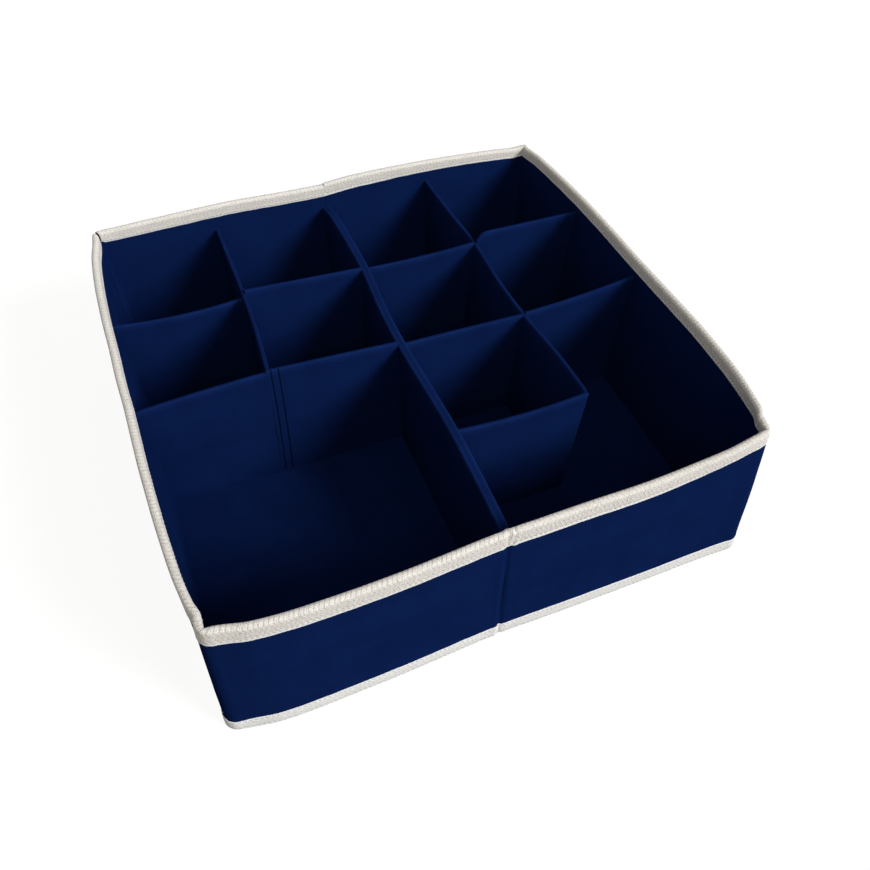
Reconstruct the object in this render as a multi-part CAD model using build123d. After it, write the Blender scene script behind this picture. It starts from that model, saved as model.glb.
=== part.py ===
from build123d import *
import os

# Compartment storage box: stiff boards sewn into fabric sleeves, bound with cream tape.
# It stands on the XY plane with its base centred on the origin. X runs to the right,
# Y to the back and Z up, in millimetres.
#
# The box folds flat like a chevron. The centre divider stays where it is, every panel
# that lies across the box swings back about an upright seam at each of its ends, and the
# side walls and the dividers that run front to back only travel. The two base panels
# hinge down under the side walls.

# Overall size
box_width = 340.0
box_length = 340.0
box_height = 110.0

# Fabric, tape and boards
tape_thickness = 0.5
wall_fabric = 0.6
wall_board = 2.4
divider_fabric = 0.5
divider_board = 3.0
cross_board = 1.6
base_fabric = 0.5
base_board = 1.8

# Heights and edges
rim_tape_height = 12.0
foot_tape_height = 8.5
divider_below_rim = 15.0
corner_radius = 2.5
wall_edge_radius = 1.0
divider_edge_radius = 1.4
cross_edge_radius = 0.9

# How far the boards stop short of the sewn ends of their sleeves
seam_margin = 4.0

# Room that the seams leave between panels
clearance = 0.3

# Thicknesses
wall_sleeve = wall_board + 2 * wall_fabric
wall_thickness = wall_sleeve + 2 * tape_thickness
divider_thickness = divider_board + 2 * divider_fabric
cross_thickness = cross_board + 2 * divider_fabric
base_thickness = base_board + 2 * base_fabric

# Levels
wall_foot = base_thickness + clearance
divider_top = box_height - divider_below_rim

# Where the inner faces of the walls lie, over their rim tape and below it
side_face = box_width / 2 - wall_thickness
end_face = box_length / 2 - wall_thickness
side_sleeve_face = side_face + tape_thickness
end_sleeve_face = end_face + tape_thickness

# Four equal cells across, between three dividers that run front to back
cell_width = (2 * side_face - 3 * divider_thickness) / 4
divider_x = cell_width + divider_thickness
divider_face = divider_thickness / 2

# Four equal cells deep, between three rows that run across
cell_length = (2 * end_face - 3 * cross_thickness) / 4
row_pitch = cell_length + cross_thickness
cross_face = cross_thickness / 2

# The folded layers: each row needs one gap, and the half walls fold outside them
fold_gap = cross_thickness + 2 * clearance
gusset_reach = divider_face + fold_gap
back_crease = clearance
wall_middle = box_length / 2 - wall_thickness / 2


def slab(x_ends, y_ends, z_ends):
    """A block between two planes on each axis."""
    ends = [sorted(pair) for pair in (x_ends, y_ends, z_ends)]
    size = [high - low for low, high in ends]
    middle = [(high + low) / 2 for low, high in ends]
    return Pos(*middle) * Box(*size)


def round_top(block, axis, radius):
    """Rounds the two long upper edges of a panel."""
    return fillet(block.edges().group_by(Axis.Z)[-1].filter_by(axis), radius)


def grown(ends, amount):
    """A pair of limits, moved apart by amount at each end."""
    low, high = sorted(ends)
    return (low - amount, high + amount)


def side_block(side, inset, z_ends, edge_radius):
    """The side wall's outline, inset all round, with its outer corners rounded."""
    x_ends = grown((side * side_face, side * box_width / 2), -inset)
    y_ends = grown((-box_length / 2, box_length / 2), -inset)
    block = slab(x_ends, y_ends, z_ends)
    outer = -1 if side > 0 else 0
    block = fillet(block.edges().filter_by(Axis.Z).group_by(Axis.X)[outer], corner_radius - inset)
    if edge_radius:
        block = fillet(block.edges().group_by(Axis.Z)[-1], edge_radius)
    return block


def side_wall(side):
    """Left or right wall: board, sleeve, rim tape, and foot tape on the outside only."""
    sleeve_z = (wall_foot + tape_thickness, box_height - tape_thickness)
    sleeve_block = side_block(side, tape_thickness, sleeve_z, wall_edge_radius)
    board = slab(
        grown((side * side_face, side * box_width / 2), -tape_thickness - wall_fabric),
        grown((-box_length / 2, box_length / 2), -seam_margin),
        (sleeve_z[0], sleeve_z[1] - wall_fabric),
    )
    rim_z = (box_height - rim_tape_height, box_height)
    rim = side_block(side, 0, rim_z, wall_edge_radius + tape_thickness)
    foot_z = (wall_foot, wall_foot + foot_tape_height)
    inside = slab(
        (side * side_face, side * side_sleeve_face),
        (-box_length / 2, box_length / 2),
        foot_z,
    )
    foot = side_block(side, 0, foot_z, 0) - inside
    return {
        "cover": sleeve_block - board,
        "board": board,
        "rim_tape": rim - sleeve_block,
        "foot_tape": foot - sleeve_block,
    }


def end_block(x_ends, end, inset, z_ends, edge_radius):
    """A stretch of the front or back wall, thinned by inset on both faces."""
    middle = end * wall_middle
    half = wall_thickness / 2 - inset
    block = slab(x_ends, (middle - half, middle + half), z_ends)
    if edge_radius:
        block = round_top(block, Axis.X, edge_radius)
    return block


def end_wall(x_ends, end, stiff=True):
    """A stretch of the front or back wall. It has a board unless it is soft."""
    sleeve_z = (wall_foot + tape_thickness, box_height - tape_thickness)
    sleeve_block = end_block(x_ends, end, tape_thickness, sleeve_z, wall_edge_radius)
    rim_z = (box_height - rim_tape_height, box_height)
    rim = end_block(x_ends, end, 0, rim_z, wall_edge_radius + tape_thickness)
    foot_z = (wall_foot, wall_foot + foot_tape_height)
    inside = slab(x_ends, (end * end_face, end * end_sleeve_face), foot_z)
    foot = end_block(x_ends, end, 0, foot_z, 0) - inside
    pieces = {
        "cover": sleeve_block,
        "rim_tape": rim - sleeve_block,
        "foot_tape": foot - sleeve_block,
    }
    if stiff:
        board_ends = grown(x_ends, -seam_margin)
        board_z = (sleeve_z[0], sleeve_z[1] - wall_fabric)
        board = end_block(board_ends, end, tape_thickness + wall_fabric, board_z, 0)
        pieces["board"] = board
        pieces["cover"] = sleeve_block - board
    return pieces


def divider(x_middle, y_ends):
    """A divider that runs front to back: a board in a sleeve that is open below."""
    x_ends = (x_middle - divider_face, x_middle + divider_face)
    block = round_top(slab(x_ends, y_ends, (wall_foot, divider_top)), Axis.Y, divider_edge_radius)
    board = slab(
        grown(x_ends, -divider_fabric),
        grown(y_ends, -seam_margin),
        (wall_foot, divider_top - divider_fabric),
    )
    return {"cover": block - board, "board": board}


def cross(x_ends, y_middle):
    """One segment of a row that runs across: a board in a sleeve that is open below."""
    y_ends = (y_middle - cross_face, y_middle + cross_face)
    block = round_top(slab(x_ends, y_ends, (wall_foot, divider_top)), Axis.X, cross_edge_radius)
    board = slab(
        grown(x_ends, -seam_margin),
        grown(y_ends, -divider_fabric),
        (wall_foot, divider_top - divider_fabric),
    )
    return {"cover": block - board, "board": board}


def base(side):
    """Left or right half of the base: a board in a sleeve, taped along its outer edges."""
    inner = side * clearance / 2
    outer = side * box_width / 2
    y_ends = (-box_length / 2, box_length / 2)
    z_ends = (0, base_thickness)
    edge = -1 if side > 0 else 0
    outline = slab((inner, outer), y_ends, z_ends)
    outline = fillet(outline.edges().filter_by(Axis.Z).group_by(Axis.X)[edge], corner_radius)
    taped = slab((inner, outer - side * tape_thickness), grown(y_ends, -tape_thickness), z_ends)
    inner_radius = corner_radius - tape_thickness
    taped = fillet(taped.edges().filter_by(Axis.Z).group_by(Axis.X)[edge], inner_radius)
    board = slab(
        grown((inner, outer), -seam_margin),
        grown(y_ends, -seam_margin),
        grown(z_ends, -base_fabric),
    )
    return {"cover": taped - board, "board": board, "edge_tape": outline - taped}


def save(name, pieces):
    """Writes each piece of one panel under the panel's name."""
    for kind, piece in pieces.items():
        export_step(piece, f"parts/{name}_{kind}.step")


os.makedirs("parts", exist_ok=True)

# Upright divider in the middle, which runs from the front wall to the back wall
divider_front = -end_sleeve_face
divider_back = end_sleeve_face - clearance
save("centre_divider", divider(0, (divider_front, divider_back)))

# Soft gusset that joins the centre divider to the front wall at its crease
gusset_half = gusset_reach - clearance
save("front_gusset", end_wall((-gusset_half, gusset_half), -1, stiff=False))

# Rows, from the back: a row's segment sits in the first or the second cell from the middle
inner_cell = (divider_face + clearance, divider_face + cell_width - clearance)
outer_cell = grown((divider_x + divider_face, side_sleeve_face), -clearance)
rows = {"rear_cross": row_pitch, "middle_cross": 0, "front_cross": -row_pitch}

for side_name, side in (("left", -1), ("right", 1)):
    save(f"{side_name}_wall", side_wall(side))
    save(f"{side_name}_base", base(side))

    # Each half of the front and back walls ends at its crease and at the side wall
    wall_end = side * (side_face - clearance)
    for end_name, end, crease in (("front", -1, gusset_reach), ("back", 1, back_crease)):
        save(f"{end_name}_{side_name}_wall", end_wall((side * crease, wall_end), end))

    # The left divider stops at the middle row, the right one at the front row
    last_row = "middle_cross" if side < 0 else "front_cross"
    last_y = rows[last_row] - cross_face
    save(f"{side_name}_divider", divider(side * divider_x, (last_y, divider_back)))

    # The front row has only the segment between the centre and right dividers
    for row_name, row_y in rows.items():
        if row_y < rows[last_row]:
            continue
        save(f"{row_name}_{side_name}_inner", cross([side * x for x in inner_cell], row_y))
        if row_name != "front_cross":
            save(f"{row_name}_{side_name}_outer", cross([side * x for x in outer_cell], row_y))
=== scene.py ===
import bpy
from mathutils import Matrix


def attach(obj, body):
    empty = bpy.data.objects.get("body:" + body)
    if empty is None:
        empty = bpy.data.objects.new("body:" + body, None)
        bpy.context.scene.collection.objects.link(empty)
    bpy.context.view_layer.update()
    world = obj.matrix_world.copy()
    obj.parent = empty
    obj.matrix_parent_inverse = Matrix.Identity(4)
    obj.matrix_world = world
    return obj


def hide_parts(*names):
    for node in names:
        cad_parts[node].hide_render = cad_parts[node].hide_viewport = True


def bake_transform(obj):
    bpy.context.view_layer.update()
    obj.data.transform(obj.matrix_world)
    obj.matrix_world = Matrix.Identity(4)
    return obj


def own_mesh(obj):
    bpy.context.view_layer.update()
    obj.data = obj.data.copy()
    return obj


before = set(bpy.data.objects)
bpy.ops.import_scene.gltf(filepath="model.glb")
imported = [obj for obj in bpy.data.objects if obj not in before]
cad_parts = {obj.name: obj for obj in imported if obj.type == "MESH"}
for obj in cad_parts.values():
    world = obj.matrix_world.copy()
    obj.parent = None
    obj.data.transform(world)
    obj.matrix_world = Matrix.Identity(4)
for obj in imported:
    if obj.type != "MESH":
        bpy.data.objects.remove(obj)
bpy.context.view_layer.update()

import functools
import math
import random

import bmesh
import bpy
from mathutils import Matrix, Vector, noise

# Compartment storage box in navy fabric with cream binding tape. Metres, X to the right,
# Y to the back, Z up. The outer walls are described along the path that they follow: u is
# the way round from the front crease, out is how far a point lies outside the middle of
# the wall, and side is -1 for the left half of the box and 1 for the right half.

mm = 0.001
box = {
    "height": 110.0 * mm,
    "wallMiddle": 167.7 * mm,
    "wallThick": 4.6 * mm,
    "sleeveHalf": 1.8 * mm,
    "tapeThick": 0.5 * mm,
    "sleeveFoot": 3.4 * mm,
    "cornerRadius": 6.7 * mm,
    "dividerX": 83.7 * mm,
    "rowPitch": 83.35 * mm,
    "dividerTop": 95.0 * mm,
    "panelFoot": 3.0 * mm,
}
straight = box["wallMiddle"] - box["cornerRadius"]
cornerArc = box["cornerRadius"] * math.pi / 2
sideMiddle = 2 * straight + cornerArc
ringEnd = 4 * straight + 2 * cornerArc
sleeveTop = box["height"] - box["tapeThick"]
innerFace = box["wallMiddle"] - box["sleeveHalf"]
scene = bpy.context.scene
rng = random.Random(7)


def addObject(name, data):
    thing = bpy.data.objects.new(name, data)
    scene.collection.objects.link(thing)
    return thing


# Camera, at the photograph's viewing angle
cameraSetup = {
    "place": (-133.27 * mm, -372.38 * mm, 468.44 * mm),
    "right": (0.92668, -0.37559, 0.01394),
    "down": (-0.27835, -0.71074, -0.64605),
    "forward": (0.25256, 0.59480, -0.76317),
    "lens": 34.34,
}
cameraData = bpy.data.cameras.new("camera")
cameraData.lens = cameraSetup["lens"]
cameraData.sensor_width = 36
camera = addObject("camera", cameraData)
turn = Matrix((
    Vector(cameraSetup["right"]),
    -Vector(cameraSetup["down"]),
    -Vector(cameraSetup["forward"]),
)).transposed()
camera.matrix_world = Matrix.Translation(cameraSetup["place"]) @ turn.to_4x4()
scene.camera = camera
scene.view_settings.view_transform = "Standard"
print("camera set")


# Curves through a few measured values

def smooth(t):
    t = min(max(t, 0.0), 1.0)
    return t * t * (3 - 2 * t)


def rising(value, start, over):
    # from 0 at start to 1 at the end of the length over
    return smooth((value - start) / over)


def inMetres(points, start=0.0):
    return [(start + at * mm, value * mm) for at, value in points]


def through(points, at):
    if at <= points[0][0]:
        return points[0][1]
    if at >= points[-1][0]:
        return points[-1][1]
    n = 0
    while at > points[n + 1][0]:
        n += 1
    left, right = points[n], points[n + 1]
    before, after = points[max(n - 1, 0)], points[min(n + 2, len(points) - 1)]
    span = right[0] - left[0]
    t = (at - left[0]) / span
    leftSlope = (right[1] - before[1]) / (right[0] - before[0]) * span
    rightSlope = (after[1] - left[1]) / (after[0] - left[0]) * span
    rise = right[1] - left[1]
    return (
        left[1]
        + leftSlope * t
        + (3 * rise - 2 * leftSlope - rightSlope) * t ** 2
        + (leftSlope + rightSlope - 2 * rise) * t ** 3
    )


# How the box has settled: where its rim and its foot lie outside or above their true
# lines, in mm. Front and back values go with x, side values with y.
settled = {
    -1: {
        "frontRim": [(0, -0.6), (36, 1.4), (65, 3), (115, 3.6), (144, 1.6), (157, -1.4)],
        "sideRim": [
            (-158, -4.8), (-148, -2.4), (-130, 0.3), (-100, 2.5), (-70, 4), (-40, 4.8),
            (-10, 5), (20, 6), (50, 6.3), (80, 6.8), (110, 6.4), (140, 4.6), (158, 1.5),
        ],
        "backLift": [
            (0, 0.4), (10, 0.5), (40, 1.4), (70, 2.6), (100, 2.4), (130, 1.8), (160, 0.8),
        ],
        "frontFoot": [
            (0, 0.5), (20, 1.4), (35, 2.2), (68, 3.8), (100, 4.6), (120, 5), (140, 4.4),
            (158, 1.6),
        ],
        "sideFoot": [(-150, 0)],
    },
    1: {
        "frontRim": [(0, -0.7), (27, -0.8), (76, -0.6), (115, -1.4), (140, -1.8), (157, -3.4)],
        "sideRim": [
            (-158, -5.2), (-150, -1.2), (-140, 1.5), (-130, 4), (-115, 7.2), (-100, 9.2),
            (-70, 10.6), (-40, 10.2), (-10, 9.6), (20, 9.2), (50, 9), (80, 8.3), (110, 6.5),
            (140, 3.8), (158, 1.8),
        ],
        "frontLift": [(80, 0), (105, 0.7), (133, 3), (157, 5.3)],
        "sideLift": [
            (-158, 5.5), (-150, 5), (-140, 4), (-130, 3), (-115, 1.5), (-100, 0.5), (-80, 0),
        ],
        "backLift": [
            (0, 1.4), (8, 2.1), (20, 3), (50, 3.2), (80, 2.8), (110, 1.4), (140, -0.8),
            (160, -2.6),
        ],
        "frontFoot": [(0, 0.5), (41, 1), (98, 1.1), (145, 0.8), (158, 1.4)],
        "sideFoot": [(-158, 4), (-148, 3.8), (-110, 0), (-80, 0)],
    },
}
cornerShapes = {  # how sharp each corner is, on its outside and its inside
    (-1, "front"): (0.05, 0.85),
    (1, "front"): (0.0, 0.9),
    (-1, "back"): (0.45, 0.9),
    (1, "back"): (0.95, 1.0),
}
cornerMiddles = {"front": straight + cornerArc / 2, "back": 3 * straight + 1.5 * cornerArc}
cornerEase = 60 * mm  # over this length the walls follow a corner that has moved
backNotch = {  # the dent at the left back corner, and the gap in its tape
    "side": -1, "half": 1.9 * mm, "deep": 6 * mm, "gap": 0.9 * mm, "rises": (80 * mm, 25 * mm),
}
frontFolds = {  # folds along the front crease: place, width and height of each, in mm
    "cloth": ((-3.6, 2, 0.25), (4, 2, 0.15), (0, 1.25, -1.15)),
    "rimTape": ((0.0, 1.1, 0.4), (1.8, 0.9, -0.45), (-1.7, 0.9, -0.3), (3.6, 1.2, 0.2)),
    "footTape": ((0.0, 1.1, 0.2), (1.6, 0.9, -0.2), (-1.6, 1.0, -0.12)),
}
creaseReach, pleatReach = 14 * mm, 10 * mm
footLift = {"high": 2.0 * mm, "half": 13 * mm, "fades": 11.6 * mm}  # at the front corners
ripples = {"along": 28, "up": 34, "deep": 0.25}  # waves per metre, and mm
ringTables = {}
for side, tables in settled.items():
    fromBack = [(ringEnd - x * mm, value * mm) for x, value in reversed(tables["backLift"])]
    ringTables[side] = {
        "rim": [
            *inMetres(tables["frontRim"]), *inMetres(tables["sideRim"], sideMiddle),
            (ringEnd - 158 * mm, 0.0), (ringEnd, 0.0),
        ],
        "foot": [
            *inMetres(tables["frontFoot"]), *inMetres(tables["sideFoot"], sideMiddle),
            (ringEnd, 0.0),
        ],
        "lift": [
            (0.0, 0.0), *inMetres(tables.get("frontLift", ())),
            *inMetres(tables.get("sideLift", ()), sideMiddle),
            (3 * straight + cornerArc - 20 * mm, 0.0), *fromBack,
        ],
    }


@functools.lru_cache(maxsize=None)
def settledAt(side, u):
    return [through(ringTables[side][kind], u) for kind in ("rim", "foot", "lift")]


def ringShift(side, u, z):
    # how far the wall stands outside and above its true place
    level = z / box["height"]
    rim, foot, raised = settledAt(side, round(u, 5))
    onSide = rising(u, straight, cornerArc)
    rise = (1 - onSide) * level + onSide * (0.75 * level + 0.25 * level ** 4)
    place = Vector((u * ripples["along"], z * ripples["up"], 5.0 * side))
    ripple = noise.noise(place) * ripples["deep"] * mm * smooth(level * 3)
    return foot * (1 - level) + rim * rise + ripple, raised * smooth(level)


def folded(off, folds):
    return sum(high * math.exp(-((off - at) / wide) ** 2) for at, wide, high in folds)


def creaseDent(x, z):
    # the groove down the middle of the front, and the swell on each side of it
    if abs(x) > creaseReach:
        return 0.0
    x, z = x / mm, z / mm
    dent = folded(x + 2.4 + 1.3 * z / 98, frontFolds["cloth"])
    return dent * (1 - 0.55 * rising(z, 96, 6)) * mm


def tapePleat(x, z):
    # the small folds of the tape where it crosses the front crease
    if abs(x) > pleatReach:
        return 0.0
    x, z = x / mm, z / mm
    if z > 60:
        return folded(x + 1.8 + 0.16 * (110 - z), frontFolds["rimTape"]) * mm
    return folded(x + 1.6, frontFolds["footTape"]) * mm


@functools.lru_cache(maxsize=None)
def cornerShiftAt(side, corner, z):
    # how far the arc of a corner has moved outwards along x and along y
    before, after = {
        "front": (straight, straight + cornerArc),
        "back": (3 * straight + cornerArc, 3 * straight + 2 * cornerArc),
    }[corner]
    first, second = ringShift(side, before, z)[0], ringShift(side, after, z)[0]
    return (second, first) if corner == "front" else (first, second)


def cornerShift(side, corner, z):
    return cornerShiftAt(side, corner, round(z, 5))


def cornerReach(side, corner, angle, out, z):
    outside, inside = cornerShapes[(side, corner)]
    t = min(max(0.5 + out / box["wallThick"], 0.0), 1.0)
    sharp = (inside + (outside - inside) * t) * (0.3 + 0.7 * smooth(z / box["height"]))
    square = 1 / max(math.cos(angle), math.sin(angle))
    return (box["cornerRadius"] + out) * (1 + sharp * (square - 1))


def ringPlace(side, u, out, z):
    # a point of the outer walls
    nearFront = max(1 - abs(u - cornerMiddles["front"]) / footLift["half"], 0.0)
    if z < footLift["fades"]:
        z += footLift["high"] * smooth(nearFront) * (1 - z / footLift["fades"])
    bowed, lifted = ringShift(side, u, z)
    if u < creaseReach:
        out += creaseDent(side * u, z)
    z += lifted
    away = box["wallMiddle"] + out + bowed
    y = u - 2 * straight - cornerArc
    corner, way = ("front", -1) if y < 0 else ("back", 1)
    if u <= straight or u >= 3 * straight + 2 * cornerArc:
        along = u if way < 0 else ringEnd - u
        ease = smooth((along - straight + cornerEase) / cornerEase)
        shift = cornerShift(side, corner, z)[0] * ease if ease else 0.0
        return Vector((side * (along + shift), way * away, z))
    if abs(y) <= straight:
        ease = smooth((abs(y) - straight + cornerEase) / cornerEase)
        if ease:
            y += cornerShift(side, corner, z)[1] * ease * way
        return Vector((side * away, y, z))
    angle = (abs(y) - straight) / box["cornerRadius"]
    shiftX, shiftY = cornerShift(side, corner, z)
    reach = cornerReach(side, corner, angle, out, z)
    x = straight + shiftX + reach * math.cos(angle)
    y = straight + shiftY + reach * math.sin(angle)
    return Vector((side * x, way * y, z))


# Mesh makers
sharpFrom = math.radians(50)


def block(low, high, cuts, topRadius=0.0, edgeRadius=0.0):
    # a slab with loop cuts along its three axes; its long upper edges may be rounded
    bm = bmesh.new()
    bmesh.ops.create_cube(bm, size=1)
    size = [b - a for a, b in zip(low, high)]
    bmesh.ops.scale(bm, vec=size, verts=bm.verts)
    bmesh.ops.translate(bm, vec=[(a + b) / 2 for a, b in zip(low, high)], verts=bm.verts)
    along = [
        edge for edge in bm.edges
        if abs(edge.verts[0].co.x - edge.verts[1].co.x) > size[0] * 0.5
    ]
    top = [edge for edge in along if edge.verts[0].co.z > high[2] - size[2] * 0.01]
    for rounded, radius, segments in ((top, topRadius, 5), (along, edgeRadius, 2)):
        if radius:
            bmesh.ops.bevel(
                bm, geom=rounded, offset=radius, offset_type="OFFSET", affect="EDGES",
                segments=segments, profile=0.5, material=-1,
            )
    for axis, count in enumerate(cuts):
        if not count:
            continue
        runs = []
        for edge in bm.edges:
            step = edge.verts[1].co - edge.verts[0].co
            other = sum(abs(step[k]) for k in range(3) if k != axis)
            if other < 0.02 * mm and abs(step[axis]) > size[axis] * 0.4:
                runs.append(edge)
        bmesh.ops.subdivide_edges(bm, edges=runs, cuts=count, use_grid_fill=True)
    return bm


def laid(bm, place, inward=False, **marks):
    # moves a flat mesh into place; its flat places stay as the attribute cloth, and each
    # mark is a function of the flat place that is kept as an attribute of its name
    cloth = bm.verts.layers.float_vector.new("cloth")
    layers = {name: bm.verts.layers.float.new(name) for name in ("edge", "fold", "pale", "seam")}
    for vert in bm.verts:
        flat = vert.co.copy()
        vert[cloth] = flat
        for name, mark in marks.items():
            vert[layers[name]] = mark(flat)
        vert.co = place(flat)
    bmesh.ops.recalc_face_normals(bm, faces=bm.faces)
    if inward:
        bmesh.ops.reverse_faces(bm, faces=bm.faces)
    return bm


def makePiece(name, parts, material, nodes=()):
    # one object from laid meshes, smooth but for its sharp edges
    whole = bmesh.new()
    for bm in parts:
        part = bpy.data.meshes.new("part")
        bm.to_mesh(part)
        bm.free()
        whole.from_mesh(part)
        bpy.data.meshes.remove(part)
    for face in whole.faces:
        face.smooth = True
    for edge in whole.edges:
        edge.smooth = len(edge.link_faces) != 2 or edge.calc_face_angle(0) < sharpFrom
    mesh = bpy.data.meshes.new(name)
    whole.to_mesh(mesh)
    whole.free()
    mesh.materials.append(material)
    piece = addObject(name, mesh)
    if nodes:
        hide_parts(*nodes)
    return piece


# Materials

def linear(red, green, blue):
    # an sRGB colour of 0 to 255 as the linear colour that a node takes
    parts = []
    for value in (red, green, blue):
        value /= 255
        parts.append(value / 12.92 if value <= 0.04045 else ((value + 0.055) / 1.055) ** 2.4)
    return (*parts, 1.0)


def linked(tree, value, target):
    # an input takes a link or a plain value
    if isinstance(value, bpy.types.NodeSocket):
        tree.links.new(value, target)
    else:
        target.default_value = value


def calc(tree, operation, *values):
    node = tree.nodes.new("ShaderNodeMath")
    node.operation = operation
    for value, target in zip(values, node.inputs):
        linked(tree, value, target)
    return node.outputs[0]


def feed(tree, node, values):
    for name, value in values.items():
        linked(tree, value, node.inputs[name])


def times(tree, first, second):
    return calc(tree, "MULTIPLY", first, second)


def scaled(tree, value, factor, offset):
    return calc(tree, "MULTIPLY_ADD", value, factor, offset)


def ramped(tree, value, start, end, low=0.0, high=1.0):
    # a soft step of value from low to high
    node = tree.nodes.new("ShaderNodeMapRange")
    node.interpolation_type = "SMOOTHSTEP"
    feed(tree, node, {
        "Value": value, "From Min": start, "From Max": end, "To Min": low, "To Max": high,
    })
    return node.outputs["Result"]


def mixed(tree, factor, first, second):
    node = tree.nodes.new("ShaderNodeMix")
    node.data_type = "RGBA"
    for name, given in (("Factor", factor), ("A", first), ("B", second)):
        inputs = [entry for entry in node.inputs if entry.name == name and entry.enabled]
        linked(tree, given, inputs[0])
    return [entry for entry in node.outputs if entry.enabled][0]


def noisy(tree, vector, scale, detail, roughness):
    node = tree.nodes.new("ShaderNodeTexNoise")
    feed(tree, node, {
        "Vector": vector, "Scale": scale, "Detail": detail, "Roughness": roughness,
    })
    return node.outputs[0]


def attributed(tree, name, output="Fac"):
    node = tree.nodes.new("ShaderNodeAttribute")
    node.attribute_name = name
    return node.outputs[output]


def splitUp(tree, vector):
    node = tree.nodes.new("ShaderNodeSeparateXYZ")
    tree.links.new(vector, node.inputs[0])
    return node.outputs


def emptied(owner):
    owner.use_nodes = True
    owner.node_tree.nodes.clear()
    return owner.node_tree


def fibreMottle():
    # clouds of colour and the relief of loose fibres, for every cloth and board
    tree = bpy.data.node_groups.new("fibreMottle", "ShaderNodeTree")
    tree.interface.new_socket("Place", in_out="INPUT", socket_type="NodeSocketVector")
    for name, value in (("Cloud Scale", 60.0), ("Fibre Scale", 2500.0), ("Contrast", 1.0)):
        entry = tree.interface.new_socket(name, in_out="INPUT", socket_type="NodeSocketFloat")
        entry.default_value = value
    for name in ("Cloud", "Fibre"):
        tree.interface.new_socket(name, in_out="OUTPUT", socket_type="NodeSocketFloat")
    given = tree.nodes.new("NodeGroupInput")
    result = tree.nodes.new("NodeGroupOutput")
    place, contrast = given.outputs["Place"], given.outputs["Contrast"]
    cloud = noisy(tree, place, given.outputs["Cloud Scale"], 5.0, 0.6)
    fibre = noisy(tree, place, given.outputs["Fibre Scale"], 3.0, 0.7)
    spread = scaled(tree, calc(tree, "SUBTRACT", cloud, 0.5), contrast, 0.5)
    spread = calc(tree, "MINIMUM", calc(tree, "MAXIMUM", spread, 0.0), 1.0)
    tree.links.new(spread, result.inputs["Cloud"])
    tree.links.new(fibre, result.inputs["Fibre"])
    return tree


fibreGroup = fibreMottle()


def mottled(tree, place, cloudScale, fibreScale, contrast):
    node = tree.nodes.new("ShaderNodeGroup")
    node.node_tree = fibreGroup
    feed(tree, node, {
        "Place": place, "Cloud Scale": cloudScale, "Fibre Scale": fibreScale, "Contrast": contrast,
    })
    return node.outputs["Cloud"], node.outputs["Fibre"]


def startCloth(name, look):
    # a material, its shader, the place on its flat cloth, its clouds, fibres and roughness
    material = bpy.data.materials.new(name)
    tree = emptied(material)
    output = tree.nodes.new("ShaderNodeOutputMaterial")
    shader = tree.nodes.new("ShaderNodeBsdfPrincipled")
    shader.inputs["Specular IOR Level"].default_value = look["specular"]
    tree.links.new(shader.outputs[0], output.inputs[0])
    place = attributed(tree, "cloth", "Vector")
    cloud, fibre = mottled(tree, place, *look["mottle"])
    return material, shader, place, cloud, fibre, ramped(tree, fibre, 0.2, 0.8, *look["rough"])


def tinted(tree, look, colour, masks):
    # lays the tints of a look over a colour, each where its mask is
    for tint, mask in masks.items():
        colour = mixed(tree, times(tree, mask, look["shades"][tint]), colour, look[tint])
    return colour


def finishCloth(tree, shader, look, colour, rough, height):
    bump = tree.nodes.new("ShaderNodeBump")
    feed(tree, bump, {"Distance": look["depth"], "Strength": 1.0, "Height": height})
    feed(tree, shader, {"Base Color": colour, "Roughness": rough, "Normal": bump.outputs[0]})


navyCloth = {
    "specular": 0.0,
    "mottle": (34.0, 1800.0, 1.6),  # scale of the clouds and of the fibres, and contrast
    "deep": linear(10, 26, 67),
    "plain": linear(13, 33, 81),
    # painted highlight for the pressed folds
    "foldHighlight": linear(22, 44, 101),
    # painted shade for the sewn grooves
    "shadedGroove": linear(2, 9, 26),
    "grooveHalf": 0.55 * mm,
    "groovesApart": 4.4 * mm,
    "grooveRelief": -8.0,
    "dotPitch": 1.5 * mm,
    "depth": 0.05 * mm,
    "shades": {"deep": 0.3, "foldHighlight": 0.5, "shadedGroove": 0.75},
    "rough": (0.72, 0.9),
}


def navyMaterial():
    look = navyCloth
    material, shader, place, cloud, fibre, rough = startCloth("navyNonWoven", look)
    tree = material.node_tree
    flat = splitUp(tree, place)
    # staggered rows of small pressed points, as in spunbonded cloth
    turn = 2 * math.pi / (2 * look["dotPitch"])
    across = calc(tree, "SINE", times(tree, flat["X"], turn))
    upwards = calc(tree, "ADD", flat["Y"], flat["Z"])
    upwards = calc(tree, "SINE", times(tree, upwards, turn))
    dots = ramped(tree, times(tree, across, upwards), 0.35, 0.8)
    # painted highlight: lighter navy along the pressed folds at the tops of the panels, where
    # light catches them
    foldHighlight = times(tree, attributed(tree, "fold"), ramped(tree, cloud, 0.1, 0.9, 0.35, 1.0))
    # a pair of sewn grooves: the attribute seam is 1 midway and grows by the metres beside it; the
    # grooves are pressed in by bump and darkened with painted shade
    off = calc(tree, "ABSOLUTE", calc(tree, "SUBTRACT", attributed(tree, "seam"), 1.0))
    off = calc(tree, "ABSOLUTE", calc(tree, "SUBTRACT", off, look["groovesApart"] / 2))
    shadedGroove = ramped(tree, off, 0.3 * look["grooveHalf"], look["grooveHalf"], 1.0, 0.0)
    colour = mixed(tree, cloud, look["deep"], look["plain"])
    colour = tinted(tree, look, colour, {"deep": dots, "foldHighlight": foldHighlight, "shadedGroove": shadedGroove})
    rough = scaled(tree, dots, -0.15, rough)
    relief = scaled(tree, dots, -1.0, times(tree, fibre, 0.8))
    relief = scaled(tree, shadedGroove, look["grooveRelief"], relief)
    finishCloth(tree, shader, look, colour, rough, relief)
    return material


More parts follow.
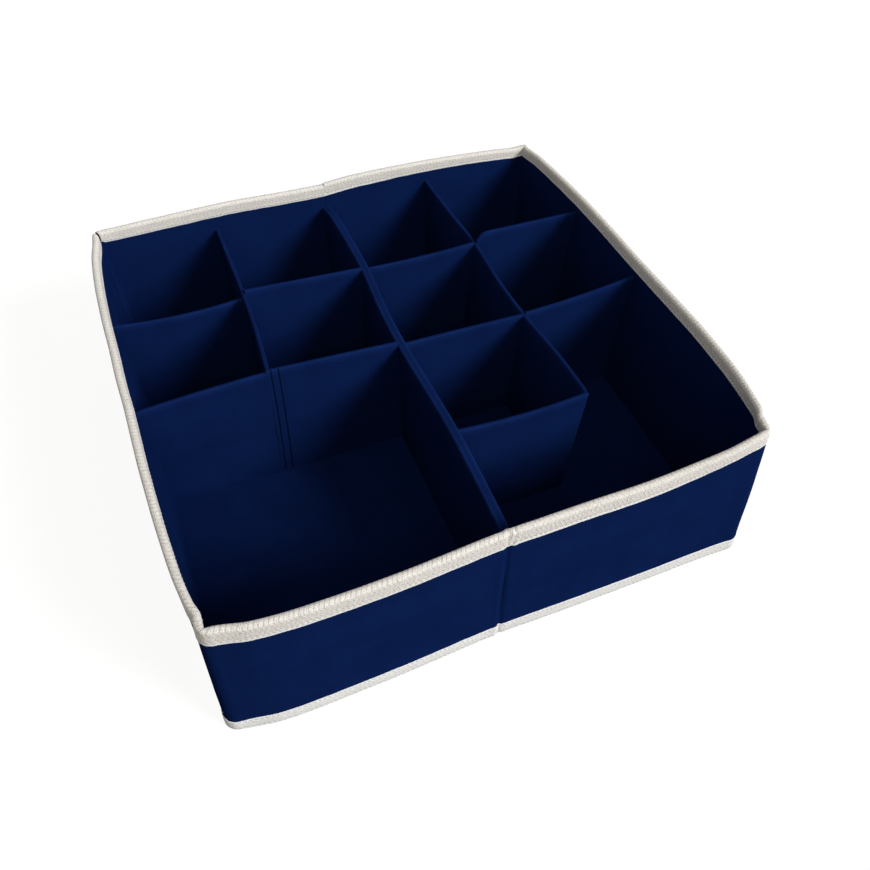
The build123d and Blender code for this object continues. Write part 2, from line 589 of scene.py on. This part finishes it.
tapeCloth = {
    "specular": 0.12,
    "sheen": 0.04,
    "mottle": (230.0, 3200.0, 2.2),
    "thread": linear(231, 229, 225),
    "gap": linear(182, 177, 164),
    "warm": linear(233, 225, 224),
    "selvage": linear(232, 235, 241),
    "pale": linear(234, 236, 238),
    "shades": {"warm": 0.45, "pale": 0.55, "selvage": 0.7, "gap": 0.35},
    "rib": 1.35 * mm,
    "band": 2.7 * mm,
    "lean": 0.62,
    "knot": 0.9 * mm,
    "selvageWidth": 1.8 * mm,
    "seamAt": 2.1 * mm,
    "stitch": 3.0 * mm,
    "depth": 0.22 * mm,
    "rough": (0.8, 0.95),
}


def tapeMaterial():
    look = tapeCloth
    material, shader, place, cloud, fibre, rough = startCloth("creamTape", look)
    tree = material.node_tree
    shader.inputs["Sheen Weight"].default_value = look["sheen"]
    edge = attributed(tree, "edge")
    flat = splitUp(tree, place)
    along, over = flat["X"], flat["Y"]
    # herringbone: the ribs lean one way and then the other, band by band
    zigzag = calc(tree, "PINGPONG", over, look["band"])
    leaning = scaled(tree, zigzag, look["lean"], along)
    turn = 2 * math.pi / look["rib"]
    rib = calc(tree, "SINE", times(tree, leaning, turn))
    pair = calc(tree, "SINE", times(tree, leaning, turn / 2))
    knot = calc(tree, "SINE", times(tree, over, 2 * math.pi / look["knot"]))
    loose = noisy(tree, place, 900.0, 3.0, 0.75)
    knot = scaled(tree, loose, 4.2, scaled(tree, knot, 0.25, -2.1))
    pair = scaled(tree, pair, 0.16, times(tree, knot, 0.5))
    weave = scaled(tree, rib, 0.2, pair)
    width = look["selvageWidth"]
    selvage = ramped(tree, edge, width * 0.6, width * 1.3, 1.0, 0.0)
    weave = times(tree, weave, scaled(tree, selvage, -0.8, 1.0))
    # needle holes along the seam
    offSeam = calc(tree, "ABSOLUTE", calc(tree, "SUBTRACT", edge, look["seamAt"]))
    nearSeam = ramped(tree, offSeam, 0.2 * mm, 0.9 * mm, 1.0, 0.0)
    hole = calc(tree, "COSINE", times(tree, along, 2 * math.pi / look["stitch"]))
    holes = times(tree, nearSeam, scaled(tree, hole, 0.5, 0.6))
    tone = ramped(tree, scaled(tree, fibre, 0.8, weave), -0.35, 0.9)
    colour = mixed(tree, tone, look["gap"], look["thread"])
    colour = tinted(tree, look, colour, {
        "warm": cloud, "pale": attributed(tree, "pale"), "selvage": selvage, "gap": holes,
    })
    height = scaled(tree, fibre, 0.35, times(tree, weave, 0.8))
    finishCloth(tree, shader, look, colour, rough, scaled(tree, holes, -1.0, height))
    return material


thread = {
    "specular": 0.25, "mottle": (900.0, 6000.0, 1.5), "rough": (0.5, 0.7), "depth": 0.05 * mm,
    "deep": linear(226, 222, 210), "plain": linear(243, 241, 235), "shades": {},
}
cardboard = {
    "specular": 0.2, "mottle": (90.0, 2400.0, 1.8), "rough": (0.8, 0.95), "depth": 0.08 * mm,
    "deep": linear(132, 116, 94), "plain": linear(160, 142, 118), "fleck": linear(104, 92, 78),
    "shades": {"fleck": 0.3},
}


def plainMaterial(name, look):
    material, shader, place, cloud, fibre, rough = startCloth(name, look)
    tree = material.node_tree
    colour = mixed(tree, cloud, look["deep"], look["plain"])
    colour = tinted(tree, look, colour, {tint: fibre for tint in look["shades"]})
    finishCloth(tree, shader, look, colour, rough, fibre)
    return material


navy = navyMaterial()
cream = tapeMaterial()
creamThread = plainMaterial("creamThread", thread)
greyBoard = plainMaterial("greyBoard", cardboard)
print("materials made")


# Outer walls: sleeves with boards inside, and soft strips at the crease and the corners
skinGap = 0.05 * mm  # keeps the inside of a sleeve off its board
walls = {
    "creaseBlend": (2 * mm, 9 * mm),
    "panelEnd": 155 * mm,
    "blendEnd": 168 * mm,
    "backGap": 0.15 * mm,
    "fabric": 0.6 * mm,
    "boardThick": 2.3 * mm,
    "boardEnd": 1 * mm,
    "boardTop": 0.5 * mm,
    "topRadius": 1.5 * mm,
    "step": 4 * mm,
    "stripStep": 1 * mm,
    "boardStep": 8 * mm,
    "rows": 26,
    "boardRows": 12,
}
panelRuns = {
    "front": (creaseReach, walls["panelEnd"]),
    "side": (sideMiddle - walls["panelEnd"], sideMiddle + walls["panelEnd"]),
    "back": (ringEnd - walls["panelEnd"], ringEnd - walls["backGap"]),
}
stripRuns = {
    "crease": (0.0, creaseReach),
    "frontCorner": (panelRuns["front"][1], panelRuns["side"][0]),
    "backCorner": (panelRuns["side"][1], panelRuns["back"][0]),
}
sideNames = {-1: "left", 1: "right"}


def onWall(side):
    # flat places are the way round, outwards, and up
    def place(co):
        z = co.z
        if side == backNotch["side"]:
            near = 1 - abs(co.x - cornerMiddles["back"]) / backNotch["half"]
            if near > 0:
                z -= backNotch["deep"] * near * rising(z, *backNotch["rises"])
        return ringPlace(side, co.x, co.y, z)
    return place


def cutsFor(run, step):
    return max(int(round((run[1] - run[0]) / step)) - 1, 1)


def wallSleeve(side, run, hollow, step):
    half = box["sleeveHalf"]
    low, high = (run[0], -half, box["sleeveFoot"]), (run[1], half, sleeveTop)
    cuts = (cutsFor(run, step), 1, walls["rows"])
    parts = [laid(block(low, high, cuts, walls["topRadius"]), onWall(side))]
    if hollow:
        inset = walls["fabric"] - skinGap
        inner = block(
            (run[0] + inset, -half + inset, low[2] + inset),
            (run[1] - inset, half - inset, high[2] - walls["fabric"]),
            (cuts[0], 0, cuts[2]),
        )
        parts.append(laid(inner, onWall(side), inward=True))
    return parts


def wallBoard(side, run):
    half = walls["boardThick"] / 2
    low = (run[0] + walls["boardEnd"], -half, box["sleeveFoot"] + walls["fabric"])
    high = (run[1] - walls["boardEnd"], half, sleeveTop - walls["fabric"] - walls["boardTop"])
    cuts = (cutsFor(run, walls["boardStep"]), 0, walls["boardRows"])
    return [laid(block(low, high, cuts), onWall(side))]


def wallBody(side, part):
    name = sideNames[side]
    return f"{name}_wall" if part == "side" else f"{part}_{name}_wall"


def cornerBlend(piece, side, corner):
    # bakes the placement of a strip that lies between two walls into its mesh
    if corner == "frontCorner":
        wallBody(side, "front")
        wallBody(side, "side")
        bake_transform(piece)
    elif corner == "backCorner":
        wallBody(side, "side")
        wallBody(side, "back")
        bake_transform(piece)
    else:
        first, last = walls["creaseBlend"]
        wallBody(side, "front")
        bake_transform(piece)


def stripNodes(side, corner, kind):
    # the CAD nodes that a strip stands for
    if corner == "crease":
        return [f"front_gusset_{kind}"]
    first = "front" if corner == "frontCorner" else "back"
    return [f"{wallBody(side, first)}_{kind}", f"{wallBody(side, 'side')}_{kind}"]


def makePanel(name, body, skin, core):
    # the sleeve and the board of one panel, which ride on its body
    sleeve = makePiece(f"{name}_sleeve", skin, navy, [f"{name}_cover"])
    board = makePiece(f"{name}_stiffener", core, greyBoard, [f"{name}_board"])
    for piece in (sleeve, board):
        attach(piece, body)
    return sleeve, board


for side, name in sideNames.items():
    for part, run in panelRuns.items():
        body = wallBody(side, part)
        makePanel(body, body, wallSleeve(side, run, True, walls["step"]), wallBoard(side, run))
    for corner, run in stripRuns.items():
        strip = makePiece(
            f"{name}_{corner}_sleeve", wallSleeve(side, run, False, walls["stripStep"]), navy,
            stripNodes(side, corner, "cover"),
        )
        cornerBlend(strip, side, corner)
print("wall sleeves made")


# Binding tape, folded over the rim and lapped round the foot
tape = {
    "thick": box["tapeThick"],
    "rimOuter": 98.0 * mm,
    "rimInner": 99.2 * mm,
    "footTop": 12.0 * mm,
    "footLow": 1.4 * mm,
    "curl": 0.6 * mm,
    "edgeRadius": 0.16 * mm,
    "step": 0.675 * mm,
    "blunt": 3.5 * mm,
    "ribHigh": 0.075 * mm,
    "ribShares": (0.5, 1.6),  # how high the ribs are everywhere, and added over the rim
    "wander": 0.35 * mm,
    "wavesPerMetre": 90,
    "wanderEnd": 3 * mm,
    "seamDip": (0.2 * mm, 0.8 * mm),  # how deep and how wide the seams press the tape
}


def arcPoint(out, z, radius, outward, upward):
    # a point of a turn round (out, z), and which way the surface faces there
    return out + radius * outward, z + radius * upward, outward, upward


def rimSection(v):
    # v runs from the outer lower edge of the tape over the rim to the inner one
    half, radius = box["sleeveHalf"], walls["topRadius"]
    up = sleeveTop - radius - tape["rimOuter"]
    turnLength = radius * math.pi / 2
    flat = 2 * (half - radius)
    if v < up:
        return half, tape["rimOuter"] + v, 1.0, 0.0
    v -= up
    if v < turnLength:
        cos, sin = math.cos(v / radius), math.sin(v / radius)
        return arcPoint(half - radius, sleeveTop - radius, radius, cos, sin)
    v -= turnLength
    if v < flat:
        return half - radius - v, sleeveTop, 0.0, 1.0
    v -= flat
    if v < turnLength:
        cos, sin = math.cos(v / radius), math.sin(v / radius)
        return arcPoint(radius - half, sleeveTop - radius, radius, -sin, cos)
    v -= turnLength
    return -half, sleeveTop - radius - v, -1.0, 0.0


rimWidth = (
    2 * (sleeveTop - walls["topRadius"]) - tape["rimOuter"] - tape["rimInner"]
    + math.pi * walls["topRadius"] + 2 * (box["sleeveHalf"] - walls["topRadius"])
)


def footSection(v):
    # v runs down the outside of the foot and curls under it
    half, radius = box["sleeveHalf"], tape["curl"]
    down = tape["footTop"] - tape["footLow"]
    if v < down:
        return half, tape["footTop"] - v, 1.0, 0.0
    angle = (v - down) / radius
    return arcPoint(half - radius, tape["footLow"], radius, math.cos(angle), -math.sin(angle))


footWidth = tape["footTop"] - tape["footLow"] + tape["curl"] * math.pi / 2
tapeTrims = {  # how much shorter each flap of the rim tape is on its way round, in mm
    -1: {
        "outer": [(0, 0), (665, 0)],
        "inner": [(0, 1), (170, 2.4), (490, 2.4), (520, 1.8), (665, 1.8)],
    },
    1: {
        "outer": [(0, 0), (80, 0.2), (150, 2.2), (180, 1.5), (250, 0), (665, 0)],
        "inner": [(0, 1), (170, 2.6), (540, 3), (600, 2.1), (640, 1.3), (665, 1)],
    },
}


@functools.lru_cache(maxsize=None)
def trimAt(side, flap, u):
    return through(tapeTrims[side][flap], u / mm) * mm


def onTape(side, section):
    # flat places are the way round, across the tape, and away from the sleeve
    def place(co):
        width = rimWidth if section is rimSection else footWidth
        u, over = co.x, min(max(co.y, 0.0), width)
        # the free edges wander, and the ribs stand up where the tape turns over the rim
        waves = Vector((u * tape["wavesPerMetre"], 3.0 * side, 0.0))
        wander = noise.noise(waves) * tape["wander"]
        if section is rimSection:
            over += wander * math.cos(math.pi * over / width)
            flap = "outer" if over < width / 2 else "inner"
            trim = trimAt(side, flap, round(u, 4))
            over = width / 2 + (over - width / 2) * (1 - 2 * trim / width)
        elif over < tape["wanderEnd"]:
            over += wander
        out, z, outward, upward = section(over)
        thick = co.z
        if thick > tape["thick"] / 2:
            lean = u + tapeCloth["lean"] * over
            rib = math.sin(2 * math.pi * lean / (2 * tapeCloth["rib"]))
            share, turned = tape["ribShares"]
            turned *= upward if section is rimSection and outward > -0.1 else 0.0
            thick += rib * tape["ribHigh"] * (share + turned)
            deep, wide = tape["seamDip"]
            edge = min(over, width - over)
            thick -= deep * math.exp(-((edge - tapeCloth["seamAt"]) / wide) ** 2)
        if u < creaseReach and outward > -0.5:
            thick += tapePleat(side * u, z)
        return ringPlace(side, u, out + thick * outward, z + thick * upward)
    return place


def tapeStrip(side, run, kind, roundStart=False, roundEnd=False):
    section, width, across = bindings[kind][:3]
    low, high = (run[0], 0, 0), (run[1], width, tape["thick"])
    cuts = (cutsFor(run, tape["step"]), across, 0)
    bm = block(low, high, cuts, edgeRadius=tape["edgeRadius"])
    place = onTape(side, section)
    blunt, bluntRun = tape["blunt"], 3 * tape["blunt"]

    def shaped(co):
        # the free ends of a tape are rounded
        co = co.copy()
        inset = max(blunt - min(co.y, width - co.y), 0.0)
        short = blunt - math.sqrt(max(blunt ** 2 - inset ** 2, 0.0))
        if roundStart and co.x < run[0] + bluntRun:
            co.x += short * (1 - (co.x - run[0]) / bluntRun)
        if roundEnd and co.x > run[1] - bluntRun:
            co.x -= short * (1 - (run[1] - co.x) / bluntRun)
        return place(co)

    def edge(co):
        return min(max(co.y, 0.0), max(width - co.y, 0.0))

    def pale(co):
        return 1.0 if section is footSection else 0.0

    return laid(bm, shaped, edge=edge, pale=pale)


stitches = {"size": (0.3 * mm, 0.5 * mm, 2.1 * mm), "seat": 0.5 * mm, "stray": 0.12}


def addStitch(bm, middle, turned, size):
    # a small capsule that sinks into the tape
    turn = Matrix.Rotation(turned, 4, "Z") @ Matrix.Rotation(math.pi / 2, 4, "Y")
    bmesh.ops.create_uvsphere(
        bm, u_segments=6, v_segments=5, radius=0.5,
        matrix=Matrix.Translation(middle) @ turn @ Matrix.Diagonal((*size, 1)),
    )


def stitchLine(side, run, section, over):
    bm = bmesh.new()
    pitch, stray = tapeCloth["stitch"], stitches["stray"]
    first = math.ceil(run[0] / pitch - 0.5)
    last = math.floor(run[1] / pitch - 0.5)
    for n in range(first, last + 1):
        strayed = over + rng.uniform(-stray, stray) * mm
        middle = Vector(((n + 0.5) * pitch, strayed, stitches["seat"]))
        addStitch(bm, middle, rng.uniform(-stray, stray), stitches["size"])
    return laid(bm, onTape(side, section))


def bindingParts(side, run, kind, part):
    section, seams = bindings[kind][0], bindings[kind][3]
    if (kind, part, side) == ("rim_tape", "backCorner", backNotch["side"]):
        middle = cornerMiddles["back"]
        strips = [
            tapeStrip(side, (run[0], middle - backNotch["gap"]), kind, roundEnd=True),
            tapeStrip(side, (middle + backNotch["gap"], run[1]), kind, roundStart=True),
        ]
    else:
        strips = [tapeStrip(side, run, kind)]
    threads = [stitchLine(side, run, section, over) for over in seams]
    return strips, threads


def makeBinding(name, nodes, strips, threads):
    # a tape, and the stitches that belong to it
    binding = makePiece(f"{name}_binding", strips, cream, nodes)
    return binding, makePiece(f"{name}_stitches", threads, creamThread, ())


backLap = {-1: 0.0, 1: 0.3 * mm}  # the right half's tape laps over the end of the left half's
bindings = {  # section, width, cuts across, and how far over the tape its seams lie
    "rim_tape": (rimSection, rimWidth, 26, (tapeCloth["seamAt"], rimWidth - tapeCloth["seamAt"])),
    "foot_tape": (footSection, footWidth, 12, (tapeCloth["seamAt"],)),
}
for side, name in sideNames.items():
    for kind in bindings:
        for part, run in {**panelRuns, **stripRuns}.items():
            onCorner = part in stripRuns
            body = f"{name}_{part}" if onCorner else wallBody(side, part)
            if part == "back":
                run = (run[0], ringEnd + backLap[side])
            nodes = stripNodes(side, part, kind) if onCorner else [f"{body}_{kind}"]
            strips, threads = bindingParts(side, run, kind, part)
            for piece in makeBinding(f"{body}_{kind}", nodes, strips, threads):
                if onCorner:
                    cornerBlend(piece, side, part)
                else:
                    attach(piece, body)
print("binding tape made")


# Base halves: board in a sleeve, bound round its three outer edges
base = {
    "top": 2.8 * mm, "low": 0.45 * mm, "fabric": 0.5 * mm, "edge": 168.0 * mm,
    "cornerRadius": 12 * mm, "step": 3 * mm, "middleGap": 0.15 * mm,
    "boardEnd": 4 * mm, "boardGap": 0.55 * mm,
    "flap": 7 * mm, "bindOut": 0.6 * mm, "bindLow": 0.45 * mm, "bindTurn": 0.6 * mm,
    "bindThick": 0.4 * mm, "bindEnd": 0.3 * mm, "bindStep": 2 * mm,
    "stitch": (0.25 * mm, 0.45 * mm, 2.0 * mm), "stitchSunk": 0.1 * mm, "stray": 0.1,
    "followsFront": (120 * mm, 48 * mm),
}
baseStart = base["edge"] - base["cornerRadius"]
baseRound = 4 * baseStart + base["cornerRadius"] * math.pi
baseWidth = (
    base["top"] - base["bindLow"] - base["bindTurn"] + base["bindTurn"] * math.pi / 2
    + base["flap"]
)


def withFront(side, x, y, z):
    # the front edge of the base follows the foot of the front wall
    y -= ringShift(side, min(abs(x), straight), 0)[0] * rising(-y, *base["followsFront"])
    return Vector((side * x, y, z))


def onBase(side, edge):
    def place(co):
        x, y, z = co
        radius = base["cornerRadius"] - base["edge"] + edge
        overX, overY = x - (edge - radius), abs(y) - (edge - radius)
        if overX > 0 and overY > 0:
            # the square corner of the grid becomes a quarter of a disc
            scale = max(overX, overY) / math.hypot(overX, overY)
            x = edge - radius + overX * scale
            y = math.copysign(edge - radius + overY * scale, y)
        return withFront(side, x, y, z)
    return place


def baseSlab(side, inset, low, high, inward=False):
    edge = base["edge"] - inset
    cells = int(edge / base["step"])
    start = (base["middleGap"] + inset, -edge, low)
    bm = block(start, (edge, edge, high), (cells - 1, 2 * cells - 1, 0))
    return laid(bm, onBase(side, edge), inward)


def baseSection(v):
    # v runs down the edge of the base and then inwards under it
    out, low, radius = base["bindOut"], base["bindLow"], base["bindTurn"]
    down = base["top"] - low - radius
    if v < down:
        return out, base["top"] - v, 1.0, 0.0
    v -= down
    turnLength = radius * math.pi / 2
    if v < turnLength:
        cos, sin = math.cos(v / radius), math.sin(v / radius)
        return arcPoint(out - radius, low + radius, radius, cos, -sin)
    return out - radius - (v - turnLength), low, 0.0, -1.0


def onBinding(side):
    def place(co):
        out, z, outward, upward = baseSection(co.y)
        u, shift = co.x, out + co.z * outward
        z += co.z * upward
        radius, start = base["cornerRadius"], baseStart
        arc = radius * math.pi / 2
        if u <= start:
            x, y = u, -base["edge"] - shift
        elif u <= start + arc:
            angle = (u - start) / radius
            x = start + (radius + shift) * math.sin(angle)
            y = -start - (radius + shift) * math.cos(angle)
        elif u <= 3 * start + arc:
            x, y = base["edge"] + shift, u - 2 * start - arc
        elif u <= 3 * start + 2 * arc:
            angle = (u - 3 * start - arc) / radius
            x = start + (radius + shift) * math.cos(angle)
            y = start + (radius + shift) * math.sin(angle)
        else:
            x, y = 4 * start + 2 * arc - u, base["edge"] + shift
        return withFront(side, x, y, z)
    return place


def baseStitches(side):
    bm = bmesh.new()
    pitch, stray = tapeCloth["stitch"], base["stray"]
    over, seat = baseWidth - tapeCloth["seamAt"], base["bindThick"] - base["stitchSunk"]
    for n in range(int(baseRound / pitch)):
        middle = Vector(((n + 0.5) * pitch, over, seat))
        addStitch(bm, middle, rng.uniform(-stray, stray), base["stitch"])
    return laid(bm, onBinding(side))


for side, name in sideNames.items():
    body = f"{name}_base"
    low, high, inner = base["low"], base["top"], base["fabric"] - skinGap
    skin = [
        baseSlab(side, 0, low, high),
        baseSlab(side, inner, low + inner, high - inner, inward=True),
    ]
    core = baseSlab(side, base["boardEnd"], low + base["boardGap"], high - base["boardGap"])
    makePanel(body, body, skin, [core])
    end, cuts = base["bindEnd"], (cutsFor((0, baseRound), base["bindStep"]), 12, 0)
    strip = block((end, 0, 0), (baseRound - end, baseWidth, base["bindThick"]), cuts)
    strips = [laid(strip, onBinding(side), edge=lambda co: max(baseWidth - co.y, 0.0))]
    for piece in makeBinding(body, [f"{body}_edge_tape"], strips, [baseStitches(side)]):
        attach(piece, body)
print("base made")


# Dividers that run front to back, and the rows that cross them
dividers = {
    "thick": 4.0 * mm,
    "crossThick": 2.6 * mm,
    "foldRadius": 0.75 * mm,
    "step": 4 * mm,
    "rowSteps": 20,
    "cuts": 22,
    # how far the inside and the board stop short of the ends, the sides and the top, and
    # how many cuts they have
    "inside": (3 * mm, 0.5 * mm, 1.2 * mm, 22),
    "board": (4 * mm, 0.7 * mm, 1.6 * mm, 11),
    "seamInset": 4.9 * mm,
    "followsFront": (100 * mm, 66 * mm),  # from where the centre divider follows the front
    "swell": {  # the share of the full thickness at the foot and at the top
        "left": (0.6, 0.6), "centre": (1.0, 1.45), "right": (0.6, 0.6),
    },
    "swellRises": (55 * mm, 35 * mm),
    "bend": {  # how far the top has moved to the right, along the divider, in mm
        "centre": [(-165, 1), (-83, 1.8), (0, -0.3), (40, 0.4), (83, 3), (140, 1.6), (165, -0.4)],
        "left": [(-2, -4.8), (0, -4.8), (20, -3.4), (45, -1.8), (83, -0.8), (165, -1)],
        "right": [(-85, 7.0), (-50, 7.2), (0, 5.0), (40, 3.9), (83, 5.4), (120, 2.4), (165, -1)],
    },
    "lean": {  # how far the foot has moved to the right
        "centre": [(-165, 0), (165, 0)],
        "left": [(-2, -8), (5, -7.6), (40, -4), (80, 0), (165, 0)],
        "right": [(-85, 0), (165, 0)],
    },
    "rise": {  # how far the top has risen
        "centre": [(-165, -2), (-83, 1), (0, -1), (83, -2), (150, -0.5), (165, -3)],
        "left": [(-2, 6), (0, 6), (40, 3), (83, 1.5), (165, -2)],
        "right": [(-85, 0.5), (-40, -1.6), (0, -4), (40, -3.6), (83, -3.2), (150, 0), (165, 1.5)],
    },
}
dividerPlaces = {"left": -box["dividerX"], "centre": 0.0, "right": box["dividerX"]}
dividerEnds = {
    "left": (1.2 * mm, innerFace),
    "centre": (-innerFace, innerFace),
    "right": (-82.15 * mm, innerFace),
}


def dividerShift(name, y, z):
    level = z / box["dividerTop"]
    kinds = ("bend", "lean", "rise")
    bend, lean, rise = (through(inMetres(dividers[kind][name]), y) for kind in kinds)
    return bend * level ** 1.5 + lean * (1 - level), rise * level


def swellAt(name, z):
    low, high = dividers["swell"][name]
    return low + (high - low) * rising(z, *dividers["swellRises"])


def onDivider(name):
    # flat places are along, across, and up
    def place(co):
        bend, rise = dividerShift(name, co.x, co.z)
        x, y = dividerPlaces[name] + co.y * swellAt(name, co.z) + bend, co.x
        if name == "centre":
            y -= ringShift(1, 0.0, co.z)[0] * rising(-y, *dividers["followsFront"])
        return Vector((x, y, co.z + rise))
    return place


def topFolds(half, top):
    # 1 on the two pressed folds along the top of a panel, where the navy gets a painted highlight
    radius = dividers["foldRadius"]

    def mark(co):
        near = abs(co.y) > half - 1.05 * radius and co.z > top - 1.3 * radius
        return 1.0 if near else 0.0
    return mark


def panelParts(start, end, half, place, steps, seam=None):
    # sleeve and board of a divider or a row segment, with a pair of grooves sewn at seam
    foot, top = box["panelFoot"], box["dividerTop"]
    cuts = (steps, 3, dividers["cuts"])
    outer = block((start, -half, foot), (end, half, top), cuts, dividers["foldRadius"])
    inner, core = (
        block(
            (start + short, -half + gap, foot + gap), (end - short, half - gap, top - below),
            (steps, 0, count),
        )
        for short, gap, below, count in (dividers["inside"], dividers["board"])
    )
    marks = {"fold": topFolds(half, top)}
    if seam is not None:
        marks["seam"] = lambda co: 1 + co.x - seam if co.y < 0 else 0.0
    skin = [laid(outer, place, **marks), laid(inner, place, inward=True)]
    return skin, [laid(core, place)]


for name, (start, end) in dividerEnds.items():
    steps = cutsFor((start, end), dividers["step"])
    skin, core = panelParts(start, end, dividers["thick"] / 2, onDivider(name), steps)
    node = f"{name}_divider"
    for piece in makePanel(node, "root" if name == "centre" else node, skin, core):
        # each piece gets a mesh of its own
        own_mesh(piece)

rowPlaces = {"rear": box["rowPitch"], "middle": 0.0, "front": -box["rowPitch"]}
rowLengths = {"inner": 79.7 * mm, "outer": 80.2 * mm}
dipShare = 0.07  # the share of a segment over which its dip fades
# how the top of each segment lies, in mm: bend to the back, rise at its two ends and in
# its middle, and dip at its first end, which is the one nearer to the middle of the box
rowShapes = {
    ("rear", -1, "outer"): {"bend": -1.2, "ends": (-2.8, -0.6), "sag": -2.0},
    ("rear", -1, "inner"): {"bend": 1.0, "ends": (-1.4, 3.4), "sag": -0.8},
    ("rear", 1, "inner"): {"bend": -0.8, "ends": (-2.9, -2.6), "sag": -0.6},
    ("rear", 1, "outer"): {"bend": 0.9, "ends": (4.8, 3.4), "sag": -1.0, "dip": 5.5},
    ("middle", -1, "outer"): {"bend": 0.8, "ends": (4.8, 0.5), "sag": 0.0},
    ("middle", -1, "inner"): {"bend": -0.9, "ends": (1.0, 6.4), "sag": 1.0},
    ("middle", 1, "inner"): {"bend": 1.0, "ends": (-2.0, -4.2), "sag": -0.8},
    ("middle", 1, "outer"): {"bend": -1.0, "ends": (-3.2, 4.2), "sag": -0.4},
    ("front", 1, "inner"): {"bend": -1.1, "ends": (0.5, -0.8), "sag": -1.4},
}


def rowEnds(row, side, cell, z):
    # where a segment starts and ends along x
    y, half, name = rowPlaces[row], dividers["thick"] / 2, sideNames[side]
    dividerBend = dividerShift(name, y, z)[0]
    if cell == "inner":
        start = side * half * swellAt("centre", z) + dividerShift("centre", y, z)[0]
        # a row that a divider ends against covers the end of the divider
        covers = 1 if (row, side) in (("middle", -1), ("front", 1)) else -1
        end = dividerPlaces[name] + covers * side * half * swellAt(name, z)
        return start, end + dividerBend
    half *= swellAt(name, z)
    wallOut = ringShift(side, sideMiddle + y, z)[0]
    return dividerPlaces[name] + side * half + dividerBend, side * (innerFace + wallOut)


def onRow(row, side, cell, length):
    settledRow = rowShapes[(row, side, cell)]

    def place(co):
        t = co.x / length
        level = co.z / box["dividerTop"]
        start, end = rowEnds(row, side, cell, co.z)
        startRise, endRise = (value * mm * level for value in settledRow["ends"])
        arch = 4 * t * (1 - t)
        x = start + (end - start) * t
        y = rowPlaces[row] + co.y + settledRow["bend"] * mm * arch * level
        z = co.z + (startRise + (endRise - startRise) * t)
        z += settledRow["sag"] * mm * arch * level ** 2
        z -= settledRow.get("dip", 0.0) * mm * (1 - smooth(t / dipShare)) * level
        return Vector((x, y, z))
    return place


for row, side, cell in rowShapes:
    length = rowLengths[cell]
    place = onRow(row, side, cell, length)
    # where the left divider ends against the middle row, the row is sewn down beside it
    seam = length - dividers["seamInset"] if (row, side, cell) == ("middle", -1, "inner") else None
    half, steps = dividers["crossThick"] / 2, dividers["rowSteps"]
    skin, core = panelParts(0.0, length, half, place, steps, seam)
    node = f"{row}_cross_{sideNames[side]}_{cell}"
    makePanel(node, node, skin, core)
print("dividers made")


# Light and floor
lightSetup = {
    "suns": {  # towards the light, strength, angle, colour
        "key": ((0.57, -0.61, 0.55), 3.15, 0.4, (1, 1, 1)),
        "fill": ((-0.22, -0.6, 0.77), 0.52, 0.6, (1, 0.93, 0.7)),
    },
    "ambient": 0.26,
    "bounce": 0.25,
    "floorSeen": (0.16, 0.9),  # how much the seen floor takes light, and glows by itself
}
for name, (toLight, energy, angle, colour) in lightSetup["suns"].items():
    sunData = bpy.data.lights.new(name, "SUN")
    sunData.energy = energy
    sunData.angle = angle
    sunData.color = colour
    sun = addObject(name, sunData)
    sun.rotation_euler = Vector(toLight).to_track_quat("Z", "Y").to_euler()


def seenDirectly(tree):
    # 1 where a camera, mirror or glass ray sees the surface
    rays = tree.nodes.new("ShaderNodeLightPath").outputs
    seen = calc(tree, "MAXIMUM", rays["Is Camera Ray"], rays["Is Glossy Ray"])
    return calc(tree, "MAXIMUM", seen, rays["Is Transmission Ray"])


world = bpy.data.worlds.new("studio")
scene.world = world
tree = emptied(world)
output = tree.nodes.new("ShaderNodeOutputWorld")
background = tree.nodes.new("ShaderNodeBackground")
background.inputs["Color"].default_value = (1, 1, 1, 1)
strength = tree.nodes.new("ShaderNodeMapRange")
strength.inputs["To Min"].default_value = lightSetup["ambient"]
strength.inputs["To Max"].default_value = 1.0
tree.links.new(seenDirectly(tree), strength.inputs["Value"])
tree.links.new(strength.outputs["Result"], background.inputs["Strength"])
tree.links.new(background.outputs[0], output.inputs[0])

floorMaterial = bpy.data.materials.new("paleFloor")
tree = emptied(floorMaterial)
output = tree.nodes.new("ShaderNodeOutputMaterial")
share, glowing = lightSetup["floorSeen"]
plain = tree.nodes.new("ShaderNodeBsdfDiffuse")
plain.inputs["Color"].default_value = (*[lightSetup["bounce"]] * 3, 1)
seen = tree.nodes.new("ShaderNodeBsdfDiffuse")
seen.inputs["Color"].default_value = (share, share, share, 1)
glow = tree.nodes.new("ShaderNodeEmission")
glow.inputs["Strength"].default_value = glowing
added = tree.nodes.new("ShaderNodeAddShader")
either = tree.nodes.new("ShaderNodeMixShader")
for source, target in (
    (seen.outputs[0], added.inputs[0]), (glow.outputs[0], added.inputs[1]),
    (seenDirectly(tree), either.inputs[0]), (plain.outputs[0], either.inputs[1]),
    (added.outputs[0], either.inputs[2]), (either.outputs[0], output.inputs[0]),
):
    tree.links.new(source, target)

floorMesh = bmesh.new()
bmesh.ops.create_grid(floorMesh, x_segments=2, y_segments=2, size=4)
bmesh.ops.translate(floorMesh, vec=(0, 0, -0.3 * mm), verts=floorMesh.verts)
floorData = bpy.data.meshes.new("floor")
floorMesh.to_mesh(floorData)
floorMesh.free()
floorData.materials.append(floorMaterial)
floor = addObject("floor", floorData)
print("light and floor set")
